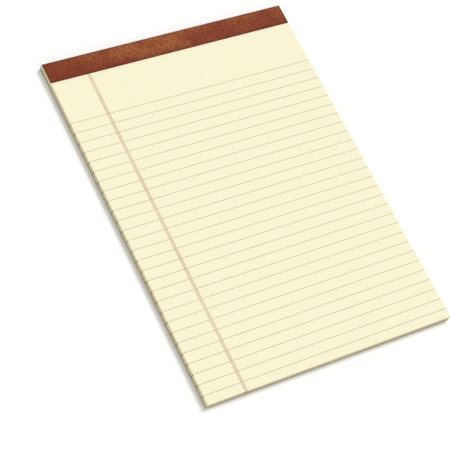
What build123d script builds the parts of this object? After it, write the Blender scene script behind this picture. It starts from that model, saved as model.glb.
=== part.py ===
from build123d import *
import os

# A tape-bound writing pad: a block of ruled leaves on a stiff board, stitched through near the
# bound edge with two wire staples, and closed there by a tape folded over face, spine and back.
# Sizes in millimetres. The pad lies on its back: +X runs across the page, +Y up the page to the
# bound edge and +Z out of the page. The origin is on the underside, below the pad's middle.

# The ruled leaves, trimmed together as one block
leaf_width = 215.9
leaf_length = 298.45
leaf_thickness = 0.09
leaf_count = 50

# The board behind them, trimmed with the leaves
board_thickness = 0.8

# The binding tape: how far it reaches down the face and the back
tape_thickness = 0.3
front_flap = 17.5
back_flap = 17.5

# The two wire stitches, parallel to the bound edge and centred on the page
wire_diameter = 0.5
crown_length = 13.0
clinch_length = 4.5
bend_radius = 0.4
stitch_spacing = 105.0
stitch_inset = 8.0
wire_clearance = 0.02

# Levels, upwards from the surface that the pad lies on
board_bottom = tape_thickness
board_top = board_bottom + board_thickness
block_top = board_top + leaf_count * leaf_thickness
pad_top = block_top + tape_thickness

# Places along the page: the whole length takes in the tape on the spine
pad_length = leaf_length + tape_thickness
spine = pad_length / 2
bound_edge = spine - tape_thickness
free_edge = bound_edge - leaf_length
stitch_line = bound_edge - stitch_inset

# The tape's outer corners turn with a radius that leaves it whole over the leaves' square edge
fold_radius = 2 * tape_thickness

# The wire is sunk flush into the top leaves and into the board's underside
wire_room = wire_diameter / 2 + wire_clearance
crown_axis = block_top - wire_room
clinch_axis = board_bottom + wire_room


def layer(low, high, bottom, top):
    """A full-width slab of the pad from y = low to y = high."""
    middle = Pos(0, (low + high) / 2, (bottom + top) / 2)
    return middle * Box(leaf_width, high - low, top - bottom)


def legs(centre):
    """Each leg of a stitch: its x, and the direction from it to the middle of the stitch."""
    half = (crown_length - wire_diameter) / 2
    return (centre - half, 1), (centre + half, -1)


def stitch(centre):
    """Crown on the face, a leg down through the pad at each end, tips bent in under the board."""
    (left, _), (right, _) = legs(centre)
    reach = clinch_length - wire_diameter / 2
    corners = (
        (left + reach, stitch_line, clinch_axis),
        (left, stitch_line, clinch_axis),
        (left, stitch_line, crown_axis),
        (right, stitch_line, crown_axis),
        (right, stitch_line, clinch_axis),
        (right - reach, stitch_line, clinch_axis),
    )
    path = FilletPolyline(*corners, radius=bend_radius)
    section = Plane(path @ 0, z_dir=path % 0) * Circle(wire_diameter / 2)
    return sweep(section, path=path)


def trough(start, end, bottom, top):
    """A square-sided channel on the stitch line, between two values of x."""
    middle = Pos((start + end) / 2, stitch_line, (bottom + top) / 2)
    return middle * Box(abs(end - start), 2 * wire_room, top - bottom)


def stitch_channel(centre):
    """The room that one stitch takes up in the leaves and the board."""
    rooms = []
    for leg, inwards in legs(centre):
        outside = leg - inwards * wire_room
        bend_end = leg + inwards * (bend_radius + wire_clearance)
        tip_end = leg + inwards * (clinch_length - wire_diameter / 2 + wire_clearance)
        rooms.append(trough(outside, leg + inwards * wire_room, board_bottom, block_top))
        rooms.append(trough(outside, bend_end, crown_axis - bend_radius, block_top))
        rooms.append(trough(outside, centre, block_top - 2 * wire_room, block_top))
        rooms.append(trough(outside, bend_end, board_bottom, clinch_axis + bend_radius))
        rooms.append(trough(outside, tip_end, board_bottom, board_bottom + 2 * wire_room))
    return rooms


def binding_tape():
    """One strip glued down the face, round the spine and under the board, cut off flush."""
    face = layer(bound_edge - front_flap, spine, block_top, pad_top)
    back = layer(bound_edge - back_flap, spine, 0, board_bottom)
    wrap = layer(bound_edge, spine, 0, pad_top)
    tape = face + back + wrap
    corners = tape.edges().filter_by(Axis.X).group_by(Axis.Y)[-1]
    return fillet(corners, fold_radius)


leaves = layer(free_edge, bound_edge, board_top, block_top)
board = layer(free_edge, bound_edge, board_bottom, board_top)
stitch_places = {"staple_left": -stitch_spacing / 2, "staple_right": stitch_spacing / 2}
for place in stitch_places.values():
    for room in stitch_channel(place):
        leaves -= room
        board -= room

pieces = {"ruled_sheets": leaves, "backing_board": board, "binding_tape": binding_tape()}
for name, place in stitch_places.items():
    pieces[name] = stitch(place)

os.makedirs("parts", exist_ok=True)
for name, piece in pieces.items():
    export_step(piece, f"parts/{name}.step")
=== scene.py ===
import math

import bmesh
import bpy
from mathutils import Matrix, Vector


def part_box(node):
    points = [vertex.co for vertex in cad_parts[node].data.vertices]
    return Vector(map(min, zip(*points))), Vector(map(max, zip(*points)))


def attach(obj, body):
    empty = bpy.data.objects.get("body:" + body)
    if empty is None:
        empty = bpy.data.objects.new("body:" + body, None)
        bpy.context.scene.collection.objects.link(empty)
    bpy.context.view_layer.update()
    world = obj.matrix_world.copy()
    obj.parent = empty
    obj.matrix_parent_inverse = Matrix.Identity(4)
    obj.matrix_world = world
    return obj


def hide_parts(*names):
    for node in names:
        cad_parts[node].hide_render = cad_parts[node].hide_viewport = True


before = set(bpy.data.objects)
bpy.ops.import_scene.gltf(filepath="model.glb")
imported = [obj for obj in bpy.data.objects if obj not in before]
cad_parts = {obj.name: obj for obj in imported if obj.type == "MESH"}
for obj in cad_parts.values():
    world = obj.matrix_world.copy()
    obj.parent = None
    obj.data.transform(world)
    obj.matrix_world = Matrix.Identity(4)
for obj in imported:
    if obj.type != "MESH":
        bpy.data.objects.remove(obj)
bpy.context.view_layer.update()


# ---------------------------------------------------------------- the backing board
# A sheet of grey-brown chipboard, pressed from pulped waste paper, so its face is speckled with
# short fibres of other colours. It is trimmed flush with the leaves, and the two wire stitches
# clinch on its underside. The CAD piece has its true form and only takes its finish here.

MM = 0.001


def add(tree, kind, inputs=None, **settings):
    """One node: its settings first, then a value or a link for each of its inputs."""
    made = tree.nodes.new(kind)
    for setting, value in settings.items():
        setattr(made, setting, value)
    for place, value in (inputs or {}).items():
        socket = made.inputs[place]
        if isinstance(value, bpy.types.NodeSocket):
            tree.links.new(value, socket)
        else:
            socket.default_value = value
    return made


def new_finish(name, **surface):
    """A material of one surface: (material, its node tree, the surface, object coordinates)."""
    finish = bpy.data.materials.new(name)
    finish.use_nodes = True
    tree = finish.node_tree
    shader = tree.nodes["Principled BSDF"]
    for place, value in surface.items():
        shader.inputs[place.replace("_", " ")].default_value = value
    where = add(tree, "ShaderNodeTexCoord").outputs["Object"]
    return finish, tree, shader, where


def grain(tree, where, size, stretch=(1, 1, 1), detail=2.0, roughness=0.5):
    """Noise whose blotches are about one size across, in metres, drawn out along an axis."""
    turned = add(tree, "ShaderNodeMapping", {"Vector": where, "Scale": stretch})
    inputs = {
        "Vector": turned.outputs["Vector"],
        "Scale": 1 / size,
        "Detail": detail,
        "Roughness": roughness,
    }
    return add(tree, "ShaderNodeTexNoise", inputs).outputs["Fac"]


def between(tree, value, low, high, start=0.0, end=1.0):
    """The value's place between low and high, from start to end and no further."""
    inputs = {"Value": value, "From Min": low, "From Max": high, "To Min": start, "To Max": end}
    return add(tree, "ShaderNodeMapRange", inputs).outputs["Result"]


def blend_colours(tree, share, first, second):
    """The first colour where share is 0, the second where it is 1."""
    inputs = {"Factor": share, 6: first, 7: second}
    return add(tree, "ShaderNodeMix", inputs, data_type="RGBA").outputs[2]


def times(tree, first, second):
    """The product of two values."""
    return add(tree, "ShaderNodeMath", {0: first, 1: second}, operation="MULTIPLY").outputs[0]


def plus(tree, first, second):
    """The sum of two values."""
    return add(tree, "ShaderNodeMath", {0: first, 1: second}, operation="ADD").outputs[0]


def roughen(tree, shader, height, depth, strength=1.0):
    """A relief of that depth in metres, from a height of 0 to 1."""
    inputs = {"Height": height, "Distance": depth, "Strength": strength}
    bump = add(tree, "ShaderNodeBump", inputs)
    tree.links.new(bump.outputs["Normal"], shader.inputs["Normal"])


def chipboard():
    """Grey-brown pulp in soft clouds, with pale fibres along the board and dark ones across it."""
    cloud_size = 9 * MM
    fibre_size = 0.5 * MM
    relief = 0.05 * MM
    pulp = (0.40, 0.315, 0.205, 1)
    dark_pulp = (0.27, 0.205, 0.130, 1)
    pale_fibre = (0.62, 0.56, 0.44, 1)
    dark_fibre = (0.10, 0.085, 0.07, 1)
    finish, tree, shader, where = new_finish("chipboard", Roughness=0.92, Specular_IOR_Level=0.2)
    clouds = between(tree, grain(tree, where, cloud_size, detail=4), 0.35, 0.65)
    colour = blend_colours(tree, clouds, pulp, dark_pulp)
    along = grain(tree, where, fibre_size, stretch=(0.25, 1, 1), detail=3)
    across = grain(tree, where, fibre_size, stretch=(1, 0.25, 1), detail=3)
    colour = blend_colours(tree, between(tree, along, 0.62, 0.70), colour, pale_fibre)
    colour = blend_colours(tree, between(tree, across, 0.66, 0.72), colour, dark_fibre)
    tree.links.new(colour, shader.inputs["Base Color"])
    roughen(tree, shader, plus(tree, along, across), relief, 0.6)
    return finish


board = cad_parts["backing_board"]
board.material_slots[0].material = chipboard()
board_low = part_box("backing_board")[0]


# ---------------------------------------------------------------- the pile of leaves
# Forty-nine leaves of thin canary paper lie under the top one. The guillotine trims them all at
# once, so the edges are flush to a few hundredths, with a fine layered look, and a cut edge is a
# deeper yellow than the face. The pile stands for the block of leaves in the CAD.

LEAVES = 50
PAPER_SHARE_OF_PITCH = 0.93
TRIM_ERROR = 0.03 * MM
TRIM_SEED = 7
TONE_SEED = 11
pile_low, pile_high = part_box("ruled_sheets")
leaf_pitch = (pile_high.z - pile_low.z) / LEAVES
leaf_thickness = PAPER_SHARE_OF_PITCH * leaf_pitch
room_to_trim = 4 * TRIM_ERROR
leaf_width = pile_high.x - pile_low.x - room_to_trim
leaf_length = pile_high.y - pile_low.y - room_to_trim
leaf_middle = (pile_low.y + pile_high.y) / 2


def page_paper():
    """Uncoated canary paper, a little cloudy where it is thick, with fine paler fibres."""
    cloud_size = 5 * MM
    fibre_size = 0.35 * MM
    relief = 0.015 * MM
    canary = (0.925, 0.885, 0.652, 1)
    thick_spot = (0.912, 0.866, 0.622, 1)
    fibre = (0.94, 0.912, 0.70, 1)
    finish, tree, shader, where = new_finish("page_paper", Roughness=0.86, Specular_IOR_Level=0.22)
    clouds = between(tree, grain(tree, where, cloud_size, detail=5, roughness=0.6), 0.3, 0.7)
    colour = blend_colours(tree, clouds, canary, thick_spot)
    fibres = grain(tree, where, fibre_size, stretch=(1, 0.35, 1), detail=3)
    colour = blend_colours(tree, between(tree, fibres, 0.55, 0.75, 0, 0.6), colour, fibre)
    tree.links.new(colour, shader.inputs["Base Color"])
    roughen(tree, shader, fibres, relief, 0.5)
    return finish


def cut_edge_paper():
    """The trimmed edges: thin layers of two yellows, each leaf with a tone of its own."""
    layer_size = 0.3 * MM
    handling_size = 22 * MM
    relief = 0.04 * MM
    deep = (0.84, 0.695, 0.355, 1)
    pale = (0.97, 0.875, 0.55, 1)
    finish, tree, shader, where = new_finish("cut_edge_paper", Roughness=0.9, Specular_IOR_Level=0.2)
    layers = grain(tree, where, layer_size, stretch=(0.012, 0.012, 1), detail=3, roughness=0.7)
    leaf = add(tree, "ShaderNodeAttribute", attribute_name="leaf_tone").outputs["Fac"]
    tone = plus(tree, times(tree, layers, 0.75), times(tree, leaf, 0.25))
    handling = between(tree, grain(tree, where, handling_size), 0.3, 0.7, -0.1, 0.1)
    share = between(tree, plus(tree, tone, handling), 0.32, 0.68)
    tree.links.new(blend_colours(tree, share, deep, pale), shader.inputs["Base Color"])
    roughen(tree, shader, layers, relief, 0.6)
    return finish


def new_node_group(name, **sizes):
    """A Geometry Nodes tree with one named input for each size: (tree, input sockets)."""
    kinds = {int: "NodeSocketInt", float: "NodeSocketFloat", tuple: "NodeSocketVector"}
    tree = bpy.data.node_groups.new(name, "GeometryNodeTree")
    tree.interface.new_socket("Geometry", in_out="OUTPUT", socket_type="NodeSocketGeometry")
    for label, value in sizes.items():
        socket = tree.interface.new_socket(label, in_out="INPUT", socket_type=kinds[type(value)])
        socket.default_value = value
    return tree, add(tree, "NodeGroupInput").outputs


def finish_group(tree, geometry, finish):
    """Makes the instances real, gives them a material and ends the tree there."""
    real = add(tree, "GeometryNodeRealizeInstances", {"Geometry": geometry}).outputs[0]
    dressed = add(tree, "GeometryNodeSetMaterial", {"Geometry": real, "Material": finish})
    add(tree, "NodeGroupOutput", {"Geometry": dressed.outputs[0]})


def grow(name, tree, **sizes):
    """Runs a tree once with these sizes and keeps what it makes as a plain mesh object."""
    piece = bpy.data.objects.new(name, bpy.data.meshes.new(name))
    bpy.context.scene.collection.objects.link(piece)
    modifier = piece.modifiers.new(name, "NODES")
    modifier.node_group = tree
    for socket in tree.interface.items_tree:
        if socket.in_out == "INPUT" and socket.name in sizes:
            modifier[socket.identifier] = sizes[socket.name]
    scene_state = bpy.context.evaluated_depsgraph_get()
    grown = piece.evaluated_get(scene_state)
    mesh = bpy.data.meshes.new_from_object(grown, depsgraph=scene_state)
    piece.modifiers.remove(modifier)
    piece.data = mesh
    return piece


def leaf_places(tree, sizes):
    """For each leaf: the point at its middle, its own small trim error, and its number."""
    pitch = add(tree, "ShaderNodeCombineXYZ", {"Z": sizes["Pitch"]}).outputs[0]
    inputs = {"Count": sizes["Leaves"], "Start Location": sizes["Lowest"], "Offset": pitch}
    stack = add(tree, "GeometryNodeMeshLine", inputs)
    reach = add(tree, "ShaderNodeCombineXYZ", {"X": sizes["Trim"], "Y": sizes["Trim"]}).outputs[0]
    least = add(tree, "ShaderNodeVectorMath", {0: reach, "Scale": -1.0}, operation="SCALE")
    number = add(tree, "GeometryNodeInputIndex").outputs[0]
    inputs = {"Min": least.outputs[0], "Max": reach, "ID": number, "Seed": TRIM_SEED}
    error = add(tree, "FunctionNodeRandomValue", inputs, data_type="FLOAT_VECTOR").outputs[0]
    return stack.outputs[0], error, number


def pile_of_leaves():
    """The leaves as thin slabs on one another, of page paper with edges of cut edge paper."""
    tree, sizes = new_node_group(
        "pile_of_leaves", Leaves=1, Leaf=(1.0, 1.0, 1.0), Lowest=(0.0, 0.0, 0.0), Pitch=1.0, Trim=1.0
    )
    stack, error, number = leaf_places(tree, sizes)
    places = add(tree, "GeometryNodeSetPosition", {"Geometry": stack, "Offset": error}).outputs[0]
    leaf = add(tree, "GeometryNodeMeshCube", {"Size": sizes["Leaf"]}).outputs["Mesh"]
    pile = add(tree, "GeometryNodeInstanceOnPoints", {"Points": places, "Instance": leaf}).outputs[0]
    tone = add(tree, "FunctionNodeRandomValue", {"ID": number, "Seed": TONE_SEED}, data_type="FLOAT")
    inputs = {"Geometry": pile, "Name": "leaf_tone", "Value": tone.outputs[1]}
    toned = add(tree, "GeometryNodeStoreNamedAttribute", inputs, data_type="FLOAT", domain="INSTANCE")
    real = add(tree, "GeometryNodeRealizeInstances", {"Geometry": toned.outputs[0]}).outputs[0]
    facing = add(tree, "GeometryNodeInputNormal").outputs[0]
    upwards = add(tree, "ShaderNodeSeparateXYZ", {"Vector": facing}).outputs["Z"]
    slope = add(tree, "ShaderNodeMath", {0: upwards}, operation="ABSOLUTE").outputs[0]
    is_edge = add(tree, "FunctionNodeCompare", {"A": slope, "B": 0.5}, operation="LESS_THAN")
    faces = add(tree, "GeometryNodeSetMaterial", {"Geometry": real, "Material": page}).outputs[0]
    inputs = {"Geometry": faces, "Selection": is_edge.outputs[0], "Material": cut_edge}
    edges = add(tree, "GeometryNodeSetMaterial", inputs).outputs[0]
    add(tree, "NodeGroupOutput", {"Geometry": edges})
    return tree


page = page_paper()
cut_edge = cut_edge_paper()
lowest_leaf = Vector((0, leaf_middle, pile_low.z + leaf_pitch / 2))
leaf_pile = grow(
    "leaf_pile",
    pile_of_leaves(),
    Leaves=LEAVES - 1,
    Leaf=Vector((leaf_width, leaf_length, leaf_thickness)),
    Lowest=lowest_leaf,
    Pitch=leaf_pitch,
    Trim=TRIM_ERROR,
)
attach(leaf_pile, "root")


# ---------------------------------------------------------------- the top leaf
# The leaf that is written on, of the same paper as the pile. It is the one whole face that
# shows, so it is a piece of its own, with a closed slab of paper under the printed ruling.

def slab(name, low, high):
    """A closed box of paper between two corners."""
    mesh = bpy.data.meshes.new(name)
    form = bmesh.new()
    bmesh.ops.create_cube(form, size=1)
    middle = (low + high) / 2
    place = Matrix.Translation(middle) @ Matrix.Diagonal((*(high - low), 1))
    bmesh.ops.transform(form, matrix=place, verts=form.verts)
    form.to_mesh(mesh)
    form.free()
    piece = bpy.data.objects.new(name, mesh)
    bpy.context.scene.collection.objects.link(piece)
    return piece


INK_HEIGHT = 0.02 * MM
page_top = pile_high.z - INK_HEIGHT
page_left = -leaf_width / 2
page_right = leaf_width / 2
page_foot = leaf_middle - leaf_length / 2
page_head = leaf_middle + leaf_length / 2
page_low = Vector((page_left, page_foot, page_top - leaf_thickness))
top_leaf = slab("top_leaf", page_low, Vector((page_right, page_head, page_top)))
top_leaf.data.materials.append(page)
top_leaf.data.materials.append(cut_edge)
for face in top_leaf.data.polygons:
    face.material_index = 0 if abs(face.normal.z) > 0.5 else 1
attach(top_leaf, "root")
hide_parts("ruled_sheets")


# ---------------------------------------------------------------- the ruling
# Twenty-eight writing lines, printed on the leaf in a pale grey-green ink at the usual pitch for
# legal ruling, 11/32 inch. They run off both sides of the leaf, below a plain heading space.

LINES = 28
LINE_PITCH = 8.731 * MM
LINE_WIDTH = 0.42 * MM
LAST_LINE_ABOVE_FOOT = 7.5 * MM


def ink(name, colour, thin_colour):
    """Printing ink that lies unevenly on the fibres of the paper; also used for the perforation's
    painted shadow.
    """
    fibre_size = 0.25 * MM
    pressure_size = 30 * MM
    relief = 0.01 * MM
    finish, tree, shader, where = new_finish(name, Roughness=0.8, Specular_IOR_Level=0.25)
    cover = grain(tree, where, fibre_size, detail=3)
    pressure = grain(tree, where, pressure_size, detail=1)
    share = between(tree, plus(tree, times(tree, cover, 0.6), times(tree, pressure, 0.4)), 0.4, 0.6)
    tree.links.new(blend_colours(tree, share, colour, thin_colour), shader.inputs["Base Color"])
    roughen(tree, shader, cover, relief, 0.4)
    return finish


def row_of_bars(name, finish):
    """Like bars in a row, each a step further on than the last."""
    tree, sizes = new_node_group(
        name, Bars=1, Bar=(1.0, 1.0, 1.0), First=(0.0, 0.0, 0.0), Step=(0.0, 0.0, 0.0)
    )
    inputs = {"Count": sizes["Bars"], "Start Location": sizes["First"], "Offset": sizes["Step"]}
    places = add(tree, "GeometryNodeMeshLine", inputs).outputs[0]
    bar = add(tree, "GeometryNodeMeshCube", {"Size": sizes["Bar"]}).outputs["Mesh"]
    bars = add(tree, "GeometryNodeInstanceOnPoints", {"Points": places, "Instance": bar}).outputs[0]
    finish_group(tree, bars, finish)
    return tree


first_line = page_foot + LAST_LINE_ABOVE_FOOT + (LINES - 1) * LINE_PITCH
line_ink = ink("line_ink", (0.38, 0.405, 0.235, 1), (0.50, 0.52, 0.33, 1))
ruled_lines = grow(
    "ruled_lines",
    row_of_bars("ruling", line_ink),
    Bars=LINES,
    Bar=Vector((leaf_width, LINE_WIDTH, INK_HEIGHT)),
    First=Vector((0, first_line, page_top + INK_HEIGHT / 2)),
    Step=Vector((0, -LINE_PITCH, 0)),
)
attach(ruled_lines, "root")


# ---------------------------------------------------------------- the margin
# A double line down the left of the page, printed in dull red over the ruling. It runs from the
# binding to the foot of the leaf.

MARGIN_FROM_LEFT = 32.35 * MM
MARGIN_GAP = 1.5 * MM
MARGIN_LINE_WIDTH = 0.95 * MM
MARGIN_INK_HEIGHT = 1.4 * INK_HEIGHT
FLAP_OVERLAP = 0.5 * MM
tape_low, tape_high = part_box("binding_tape")
margin_length = tape_low.y + FLAP_OVERLAP - page_foot
margin_ink = ink("margin_ink", (0.66, 0.44, 0.32, 1), (0.73, 0.55, 0.42, 1))
margin_x = page_left + MARGIN_FROM_LEFT - MARGIN_GAP / 2
margin_lines = grow(
    "margin_lines",
    row_of_bars("margin", margin_ink),
    Bars=2,
    Bar=Vector((MARGIN_LINE_WIDTH, margin_length, MARGIN_INK_HEIGHT)),
    First=Vector((margin_x, page_foot + margin_length / 2, page_top + MARGIN_INK_HEIGHT / 2)),
    Step=Vector((MARGIN_GAP, 0, 0)),
)
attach(margin_lines, "root")


# ---------------------------------------------------------------- the printed line ends
# The ruling runs off the leaf, so each of the fifty leaves shows a speck of ink on its cut edge
# at every line, and the specks line up into streaks down the sides of the pile. They waver,
# because each leaf was printed a little higher or lower. The margin does the same at the foot.

SPECK_DEPTH = 0.03 * MM
SPECK_WIDTH = 0.6 * MM
PRINT_WANDER = 0.9 * MM
PRINT_ERROR = 0.09 * MM
PRINT_SEED = 23
WANDER_PER_LEAF = 0.09


def comb_of_specks(tree, count, first, step, speck):
    """The specks on one edge of one leaf, a line pitch apart."""
    inputs = {"Count": count, "Start Location": first, "Offset": step}
    places = add(tree, "GeometryNodeMeshLine", inputs).outputs[0]
    cube = add(tree, "GeometryNodeMeshCube", {"Size": speck}).outputs["Mesh"]
    inputs = {"Points": places, "Instance": cube}
    return add(tree, "GeometryNodeInstanceOnPoints", inputs).outputs[0]


def edge_specks(name, finish, axis):
    """Specks of ink on the edges of every leaf, wandering along one axis from leaf to leaf."""
    tree, sizes = new_node_group(
        name,
        Leaves=1,
        Lowest=(0.0, 0.0, 0.0),
        Pitch=1.0,
        Trim=1.0,
        Wander=1.0,
        Error=1.0,
        Specks=1,
        Speck=(1.0, 1.0, 1.0),
        First=(0.0, 0.0, 0.0),
        Opposite=(0.0, 0.0, 0.0),
        Step=(0.0, 0.0, 0.0),
    )
    stack, error, number = leaf_places(tree, sizes)
    trim = add(tree, "ShaderNodeSeparateXYZ", {"Vector": error})
    inputs = {"W": times(tree, number, WANDER_PER_LEAF), "Scale": 1.0, "Detail": 2.0}
    drift = add(tree, "ShaderNodeTexNoise", inputs, noise_dimensions="1D").outputs[0]
    drift = times(tree, plus(tree, drift, -0.5), sizes["Wander"])
    inputs = {"Min": -1.0, "Max": 1.0, "ID": number, "Seed": PRINT_SEED}
    jitter = add(tree, "FunctionNodeRandomValue", inputs, data_type="FLOAT").outputs[1]
    shift = plus(tree, drift, times(tree, jitter, sizes["Error"]))
    moves = {"X": trim.outputs["X"], "Y": trim.outputs["Y"], axis: shift}
    offset = add(tree, "ShaderNodeCombineXYZ", moves).outputs[0]
    places = add(tree, "GeometryNodeSetPosition", {"Geometry": stack, "Offset": offset}).outputs[0]
    near = comb_of_specks(tree, sizes["Specks"], sizes["First"], sizes["Step"], sizes["Speck"])
    far = comb_of_specks(tree, sizes["Specks"], sizes["Opposite"], sizes["Step"], sizes["Speck"])
    both = add(tree, "GeometryNodeJoinGeometry", {0: near})
    tree.links.new(far, both.inputs[0])
    inputs = {"Points": places, "Instance": both.outputs[0]}
    finish_group(tree, add(tree, "GeometryNodeInstanceOnPoints", inputs).outputs[0], finish)
    return tree


edge_ink = ink("edge_ink", (0.22, 0.20, 0.07, 1), (0.40, 0.36, 0.16, 1))
line_ends = grow(
    "line_ends",
    edge_specks("line_ends", edge_ink, "Y"),
    Leaves=LEAVES,
    Lowest=Vector((0, 0, lowest_leaf.z)),
    Pitch=leaf_pitch,
    Trim=TRIM_ERROR,
    Wander=PRINT_WANDER,
    Error=PRINT_ERROR,
    Specks=LINES,
    Speck=Vector((SPECK_DEPTH, SPECK_WIDTH, leaf_thickness)),
    First=Vector((page_left, first_line, 0)),
    Opposite=Vector((page_right, first_line, 0)),
    Step=Vector((0, -LINE_PITCH, 0)),
)
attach(line_ends, "root")

foot_ink = ink("foot_ink", (0.50, 0.20, 0.10, 1), (0.68, 0.38, 0.20, 1))
foot_start = Vector((margin_x, page_foot, 0))
margin_ends = grow(
    "margin_ends",
    edge_specks("margin_ends", foot_ink, "X"),
    Leaves=LEAVES,
    Lowest=Vector((0, 0, lowest_leaf.z)),
    Pitch=leaf_pitch,
    Trim=TRIM_ERROR,
    Wander=PRINT_WANDER,
    Error=PRINT_ERROR,
    Specks=1,
    Speck=Vector((SPECK_WIDTH, SPECK_DEPTH, leaf_thickness)),
    First=foot_start,
    Opposite=foot_start + Vector((MARGIN_GAP, 0, 0)),
    Step=Vector((MARGIN_GAP, 0, 0)),
)
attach(margin_ends, "root")


# ---------------------------------------------------------------- the perforation
# A line of fine cuts across each leaf just below the tape, 11 inches from the foot, where the
# leaf tears off. Each cut is drawn as a short, faintly darker dash of painted shadow, for the shade
# inside the cut.

TORN_LEAF_LENGTH = 279.4 * MM
CUT_LENGTH = 0.85 * MM
CUT_WIDTH = 0.11 * MM
CUT_PITCH = 1.27 * MM
CUT_HEIGHT = 0.4 * INK_HEIGHT
cuts = int(leaf_width / CUT_PITCH)
# Painted shadow: each dash stands for the shade inside a cut.
painted_slit_shadow = ink("slit_shade", (0.42, 0.37, 0.20, 1), (0.55, 0.49, 0.30, 1))
perforation = grow(
    "perforation",
    row_of_bars("perforation", painted_slit_shadow),
    Bars=cuts,
    Bar=Vector((CUT_LENGTH, CUT_WIDTH, CUT_HEIGHT)),
    First=Vector((-(cuts - 1) * CUT_PITCH / 2, page_foot + TORN_LEAF_LENGTH, page_top)),
    Step=Vector((CUT_PITCH, 0, 0)),
)
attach(perforation, "root")


# ---------------------------------------------------------------- the wire stitches
# Two staples of round galvanised wire hold leaves and board together near the bound edge. Each
# crown is pressed into the top leaves and each tip is clinched under the board, and the tape
# covers both. The CAD pieces have their true form and take only their finish here.

def galvanised_wire():
    """Drawn wire with fine scratches along it and a dull bloom on the zinc."""
    scratch_size = 0.2 * MM
    bloom_size = 1.5 * MM
    relief = 0.01 * MM
    zinc = (0.56, 0.57, 0.58, 1)
    dull_zinc = (0.40, 0.41, 0.43, 1)
    finish, tree, shader, where = new_finish("galvanised_wire", Metallic=1.0)
    drawn = grain(tree, where, scratch_size, stretch=(0.1, 1, 0.1), detail=3)
    bloom = grain(tree, where, bloom_size, detail=3)
    colour = blend_colours(tree, between(tree, bloom, 0.35, 0.65), zinc, dull_zinc)
    tree.links.new(colour, shader.inputs["Base Color"])
    tree.links.new(between(tree, drawn, 0.3, 0.7, 0.28, 0.5), shader.inputs["Roughness"])
    roughen(tree, shader, drawn, relief, 0.5)
    return finish


wire = galvanised_wire()
for staple in ("staple_left", "staple_right"):
    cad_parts[staple].material_slots[0].material = wire


# ---------------------------------------------------------------- the binding tape
# One strip of brown tape, embossed and printed to look like leather, glued down the face, round
# the spine and under the board, and cut off flush with the sides. Its corners are soft folds, its
# rims and top fold are darkened with painted shade, its face carries painted light towards the
# spine, and the crowns of the two stitches stand faintly through the face.

RELIEF = 0.07 * MM
FOLD_RADIUS = 0.6 * MM
FOLD_STEPS = 6
SHARP_ANGLE = 50
WELD = 0.002 * MM
CROWN_RIDGE = 0.55 * MM
STEP_ACROSS = 1.2 * MM
LEATHER_STEP = 0.45 * MM
tape_bottom = tape_low.z
tape_face = tape_high.z - RELIEF
crowns = [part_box(staple) for staple in ("staple_left", "staple_right")]


def round_corner(middle, start):
    """Points on a quarter turn of the fold, from a starting angle in degrees, clockwise."""
    turns = [math.radians(start - 90 * step / FOLD_STEPS) for step in range(FOLD_STEPS + 1)]
    return [middle + FOLD_RADIUS * Vector((math.cos(turn), math.sin(turn))) for turn in turns]


def straight(start, end):
    """Evenly spaced points between two others, without the end."""
    parts = max(1, round((end - start).length / LEATHER_STEP))
    return [start.lerp(end, part / parts) for part in range(parts)]


def tape_section():
    """The outside of the tape from the edge of the face flap round to the edge of the back flap."""
    spine = tape_high.y
    top_fold = Vector((spine - FOLD_RADIUS, tape_face - FOLD_RADIUS))
    low_fold = Vector((spine - FOLD_RADIUS, tape_bottom + FOLD_RADIUS))
    face_start = Vector((tape_low.y, tape_face))
    back_end = Vector((tape_low.y, tape_bottom))
    points = straight(face_start, top_fold + Vector((0, FOLD_RADIUS)))
    points += round_corner(top_fold, 90)
    points += straight(points.pop(), low_fold + Vector((FOLD_RADIUS, 0)))
    points += round_corner(low_fold, 0)
    points += straight(points.pop(), back_end)
    return points + [back_end]


def crown_lift(x, y, z):
    """How far a stitch's crown lifts the tape at a point of the face: 0 away from it, up to 1."""
    if z < tape_face - MM:
        return 0.0
    lift = 0.0
    for low, high in crowns:
        past_end = max(low.x - x, 0, x - high.x)
        off_line = abs(y - (low.y + high.y) / 2)
        away = math.hypot(past_end, off_line) / CROWN_RIDGE
        lift = max(lift, math.exp(-away * away))
    return lift


def tape_shell():
    """The closed strip: outside, inside and the cut rim that joins them."""
    inner_face = pile_high.z
    inner_back = board_low.z
    inner_spine = pile_high.y
    outside = tape_section()
    steps = round((tape_high.x - tape_low.x) / STEP_ACROSS)
    form = bmesh.new()
    rows = []
    for number in range(steps + 1):
        x = tape_low.x + (tape_high.x - tape_low.x) * number / steps
        outer = []
        inner = []
        for y, z in outside:
            raised = z + RELIEF * crown_lift(x, y, z)
            outer.append(form.verts.new((x, y, raised)))
            inner.append(form.verts.new((x, min(y, inner_spine), min(max(z, inner_back), inner_face))))
        rows.append(outer + inner[::-1])
    around = len(rows[0])
    for row, following in zip(rows, rows[1:]):
        for place in range(around):
            ahead = (place + 1) % around
            form.faces.new((row[place], row[ahead], following[ahead], following[place]))
    half = around // 2
    for row in (rows[0], rows[-1]):
        for place in range(half - 1):
            corners = (row[place], row[place + 1], row[around - 2 - place], row[around - 1 - place])
            form.faces.new(corners)
    bmesh.ops.remove_doubles(form, verts=form.verts, dist=WELD)
    bmesh.ops.recalc_face_normals(form, faces=form.faces)
    mesh = bpy.data.meshes.new("leather_tape")
    form.to_mesh(mesh)
    form.free()
    return mesh


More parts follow.
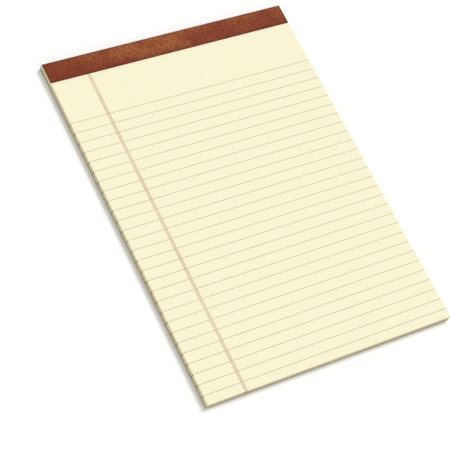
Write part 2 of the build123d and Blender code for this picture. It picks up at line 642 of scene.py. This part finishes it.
def painted_rim_shade(tree, along, off_middle):
    """Painted shade, up to 0.8: a soft band and a dark line at the flaps' edges, the cut ends and the
    top fold.
    """
    edge = tape_low.y
    end = tape_high.x
    spine = tape_high.y
    face = tape_high.z
    shade_near_flap_edge = between(tree, along["Y"], edge, edge + 4 * MM, 0.3, 0)
    flap_rim_shadow = between(tree, along["Y"], edge + 0.4 * MM, edge + 0.9 * MM, 0.6, 0)
    cut_end_shade = between(tree, off_middle, end - 1.5 * MM, end - 0.5 * MM, 0, 0.7)
    up_spine = between(tree, along["Z"], face - 1.0 * MM, face - 0.3 * MM, 0, 0.7)
    fold_shade = between(tree, along["Y"], spine - 1.1 * MM, spine - 0.4 * MM)
    shade = plus(tree, plus(tree, shade_near_flap_edge, flap_rim_shadow), times(tree, up_spine, fold_shade))
    return between(tree, plus(tree, shade, cut_end_shade), 0, 0.8, 0, 0.8)


def leather_tape():
    """Brown print with tan flecks, thickest in the middle, over an embossed leather grain, with
    painted shade at the rims and fold and painted light towards the spine.
    """
    cloud_size = 26 * MM
    mottle_size = 4 * MM
    fleck_size = 0.85 * MM
    pit_size = 0.7 * MM
    cell_size = 0.9 * MM
    relief = 0.05 * MM
    brown = (0.178, 0.032, 0.0120, 1)
    red_brown = (0.232, 0.044, 0.0175, 1)
    # This dark brown colours the pits of the print and also the painted shade at the rims.
    dark = (0.075, 0.014, 0.005, 1)
    tan = (0.60, 0.245, 0.075, 1)
    finish, tree, shader, where = new_finish("leather_tape", Roughness=0.55, Specular_IOR_Level=0.06)
    clouds = grain(tree, where, cloud_size, stretch=(1, 1.8, 1), detail=3)
    mottle = grain(tree, where, mottle_size, detail=4, roughness=0.6)
    colour = blend_colours(tree, between(tree, mottle, 0.35, 0.65), brown, red_brown)
    along = add(tree, "ShaderNodeSeparateXYZ", {"Vector": where}).outputs
    # Painted light: fewer tan flecks near the flap's edge as painted shade, more towards the spine as
    # a painted highlight.
    painted_light_to_spine = between(tree, along["Y"], tape_low.y, tape_high.y, -0.025, 0.02)
    pebbles = grain(tree, where, fleck_size, detail=5, roughness=0.65)
    off_middle = add(tree, "ShaderNodeMath", {0: along["X"]}, operation="ABSOLUTE").outputs[0]
    # More tan flecks in the middle of the strip, fewer towards the cut ends.
    flecks_toward_middle = between(tree, off_middle, 15 * MM, 95 * MM, 0.015, -0.03)
    fleck = plus(tree, pebbles, between(tree, clouds, 0.38, 0.62, -0.04, 0.04))
    fleck = plus(tree, fleck, flecks_toward_middle)
    fleck = between(tree, plus(tree, fleck, painted_light_to_spine), 0.52, 0.64)
    colour = blend_colours(tree, times(tree, fleck, 0.8), colour, tan)
    pits = grain(tree, where, pit_size, stretch=(1, 1, 1.3), detail=3)
    colour = blend_colours(tree, between(tree, pits, 0.42, 0.30, 0, 0.75), colour, dark)
    # Painted shade at the flaps' edges, the cut ends and the top fold, laid over the print.
    colour = blend_colours(tree, painted_rim_shade(tree, along, off_middle), colour, dark)
    tree.links.new(colour, shader.inputs["Base Color"])
    inputs = {"Vector": where, "Scale": 1 / cell_size}
    cells = add(tree, "ShaderNodeTexVoronoi", inputs, feature="DISTANCE_TO_EDGE").outputs[0]
    skin = plus(tree, between(tree, cells, 0.0, 0.18), times(tree, pebbles, 0.6))
    roughen(tree, shader, skin, relief, 0.6)
    tree.links.new(between(tree, pebbles, 0.35, 0.65, 0.62, 0.46), shader.inputs["Roughness"])
    return finish


tape = bpy.data.objects.new("leather_tape", tape_shell())
bpy.context.scene.collection.objects.link(tape)
tape.data.materials.append(leather_tape())
tape.data.set_sharp_from_angle(angle=math.radians(SHARP_ANGLE))
for face in tape.data.polygons:
    face.use_smooth = True
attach(tape, "root")
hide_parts("binding_tape")


# ---------------------------------------------------------------- the studio
# A plain white floor, an even white sky and one large soft lamp to the right and behind, so the
# page is bright, the left side and the foot are in soft shade and the shadow falls to the left.

FLOOR_SIZE = 6.0
SKY_STRENGTH = 0.60
LAMP_STRENGTH = 1.70
LAMP_SPREAD = 24
LAMP_TURN = 62
LAMP_HEIGHT = 52


def seen_directly(tree):
    """1 for what the camera, a reflection or a clear surface sees, 0 for light on a surface."""
    path = add(tree, "ShaderNodeLightPath").outputs
    direct = plus(tree, path["Is Camera Ray"], path["Is Glossy Ray"])
    total = add(tree, "ShaderNodeMath", {0: direct, 1: path["Is Transmission Ray"]}, operation="ADD")
    total.use_clamp = True
    return total.outputs[0]


def studio_floor():
    """White to look at, and a light grey for the light that it throws back on the pad."""
    lit = (0.80, 0.80, 0.80, 1)
    white = (1.0, 1.0, 1.0, 1)
    finish, tree, shader, _ = new_finish("studio_floor", Roughness=1.0, Specular_IOR_Level=0.0)
    colour = blend_colours(tree, seen_directly(tree), lit, white)
    tree.links.new(colour, shader.inputs["Base Color"])
    return finish


floor_mesh = bpy.data.meshes.new("studio_floor")
floor_form = bmesh.new()
bmesh.ops.create_grid(floor_form, x_segments=1, y_segments=1, size=FLOOR_SIZE / 2)
floor_form.to_mesh(floor_mesh)
floor_form.free()
floor = bpy.data.objects.new("studio_floor", floor_mesh)
bpy.context.scene.collection.objects.link(floor)
floor.data.materials.append(studio_floor())

sky = bpy.data.worlds.new("studio_sky")
sky.use_nodes = True
sky_light = sky.node_tree.nodes["Background"]
sky_light.inputs["Color"].default_value = (1, 1, 1, 1)
sky_strength = between(sky.node_tree, seen_directly(sky.node_tree), 0, 1, SKY_STRENGTH, 1)
sky.node_tree.links.new(sky_strength, sky_light.inputs["Strength"])
bpy.context.scene.world = sky

lamp = bpy.data.lights.new("soft_lamp", "SUN")
lamp.energy = LAMP_STRENGTH
lamp.angle = math.radians(LAMP_SPREAD)
lamp_object = bpy.data.objects.new("soft_lamp", lamp)
bpy.context.scene.collection.objects.link(lamp_object)
lamp_turn = Matrix.Rotation(math.radians(-LAMP_TURN), 4, "Z")
lamp_tilt = Matrix.Rotation(math.radians(LAMP_HEIGHT - 90), 4, "X")
lamp_object.matrix_world = lamp_turn @ lamp_tilt

# The camera looks down on the page from the left of the foot, through a long lens, and is turned
# on its side by a third of a right angle.
CAMERA_TURN = 53.40
CAMERA_HEIGHT = 56.79
CAMERA_DISTANCE = 1.2776
CAMERA_ROLL = 31.04
CAMERA_AIM = Vector((-0.0297, -0.0220, 0.0056))
LENS = 135.3

camera = bpy.data.cameras.new("camera")
camera.lens = LENS
camera.sensor_width = 36
camera_object = bpy.data.objects.new("camera", camera)
bpy.context.scene.collection.objects.link(camera_object)
turn = Matrix.Rotation(math.radians(-CAMERA_TURN), 4, "Z")
tilt = Matrix.Rotation(math.radians(90 - CAMERA_HEIGHT), 4, "X")
roll = Matrix.Rotation(math.radians(CAMERA_ROLL), 4, "Z")
back = Matrix.Translation((0, 0, CAMERA_DISTANCE))
camera_object.matrix_world = Matrix.Translation(CAMERA_AIM) @ turn @ tilt @ roll @ back
bpy.context.scene.camera = camera_object
bpy.context.scene.view_settings.view_transform = "Standard"
